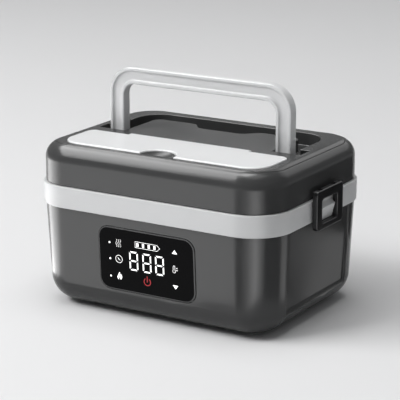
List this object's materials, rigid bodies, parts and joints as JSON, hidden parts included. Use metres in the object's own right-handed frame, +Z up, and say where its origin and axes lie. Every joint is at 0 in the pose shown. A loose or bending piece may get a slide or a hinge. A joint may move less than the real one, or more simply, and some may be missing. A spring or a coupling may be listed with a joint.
{
  "type": "electric lunch box",
  "caption": "Battery-heated lunch box with a display, a lift-off lid held by two side latches, a fold-down carrying handle, a cutlery flap and a lift-out steel food container.",
  "frame": {"origin": "on the resting surface, under the middle of the box", "axes": "+Z up, the display faces -Y, +X to the right of someone facing the display"},
  "size_m": [0.242, 0.1724, 0.1913],
  "materials": {
    "body_grey": "satin",
    "cover_black": "fine texture",
    "foot_rubber": "matte",
    "screw_steel": "zinc plated",
    "band_white": "satin",
    "window_black": "high gloss",
    "led_housing": "matte",
    "pcb_green": "solder mask",
    "ribbon": "satin",
    "pan_alu": "anodised",
    "heater_alu": "extruded",
    "bracket_steel": "zinc plated",
    "insulation": "felted glass fibre",
    "fuse_ceramic": "matte",
    "sensor_black": "potted",
    "cell_wrap": "shrink wrap",
    "holder_black": "matte",
    "strip_nickel": "nickel",
    "wire_red": "silicone",
    "socket_black": "satin",
    "wire_black": "silicone",
    "lid_grey": "satin",
    "deck_grey": "satin",
    "inner_pale": "matte",
    "seal_silicone": "matte",
    "pin_steel": "ground",
    "handle_pale": "satin",
    "flap_white": "gloss",
    "latch_black": "satin",
    "container_steel": "brushed",
    "container_lid": "satin"
  },
  "bodies": {
    "base": {"lower_body": "body_grey", "bottom_cover": "cover_black", "feet": "foot_rubber", "bottom_screws": "screw_steel", "band": "band_white", "display_window": "window_black", "led_module": "led_housing", "display_board": "pcb_green", "display_ribbon": "ribbon", "heating_pan": "pan_alu", "ptc_heater": "heater_alu", "heater_bracket": "bracket_steel", "insulation_pad": "insulation", "thermal_fuse": "fuse_ceramic", "temp_sensor": "sensor_black", "battery_cells": "cell_wrap", "cell_holder_front": "holder_black", "cell_holder_rear": "holder_black", "cell_strips": "strip_nickel", "power_board": "pcb_green", "board_screws": "screw_steel", "heater_lead": "wire_red", "battery_lead": "wire_red", "dc_socket": "socket_black", "socket_lead": "wire_black"},
    "lid": {"lid_shell": "lid_grey", "lid_deck": "deck_grey", "lid_inner_cover": "inner_pale", "lid_gasket": "seal_silicone", "lid_screws": "screw_steel", "handle_pins": "pin_steel", "flap_pins": "pin_steel", "latch_pins": "pin_steel"},
    "carry_handle": {"handle": "handle_pale"},
    "flap": {"cutlery_flap": "flap_white"},
    "left_latch": {"latch_left": "latch_black"},
    "right_latch": {"latch_right": "latch_black"},
    "container": {"food_container": "container_steel"},
    "container_cap": {"container_lid": "container_lid", "container_seal": "seal_silicone", "vent_plug": "seal_silicone"}
  },
  "joints": [
    {"name": "lid_lift", "type": "slide", "parent": "base", "child": "lid", "axis": [0, 0, 1], "range_m": [0, 0.126]},
    {"name": "handle_fold", "type": "hinge", "parent": "lid", "child": "carry_handle", "pos_m": [0, 0.0005, 0.1322], "axis": [-1, 0, 0], "range_deg": [0, 90]},
    {"name": "flap_open", "type": "hinge", "parent": "lid", "child": "flap", "pos_m": [0, -0.0172, 0.1362], "axis": [-1, 0, 0], "range_deg": [0, 85]},
    {"name": "latch_right_swing", "type": "hinge", "parent": "lid", "child": "right_latch", "pos_m": [0.1182, 0, 0.1094], "axis": [0, -1, 0], "range_deg": [0, 90]},
    {"name": "latch_left_swing", "type": "hinge", "parent": "lid", "child": "left_latch", "pos_m": [-0.1182, 0, 0.1094], "axis": [0, 1, 0], "range_deg": [0, 90]},
    {"name": "container_lift", "type": "slide", "parent": "base", "child": "container", "axis": [0, 0, 1], "range_m": [0, 0.0567]},
    {"name": "cap_lift", "type": "slide", "parent": "base", "child": "container_cap", "axis": [0, 0, 1], "range_m": [0, 0.0945]}
  ],
  "couplings": [
    {"joint": "container_lift", "follows": "lid_lift", "ratio": 0.45},
    {"joint": "cap_lift", "follows": "lid_lift", "ratio": 0.75},
    {"joint": "latch_right_swing", "follows": "lid_lift", "rad_per_m": 12.46},
    {"joint": "latch_left_swing", "follows": "lid_lift", "rad_per_m": 12.46}
  ]
}
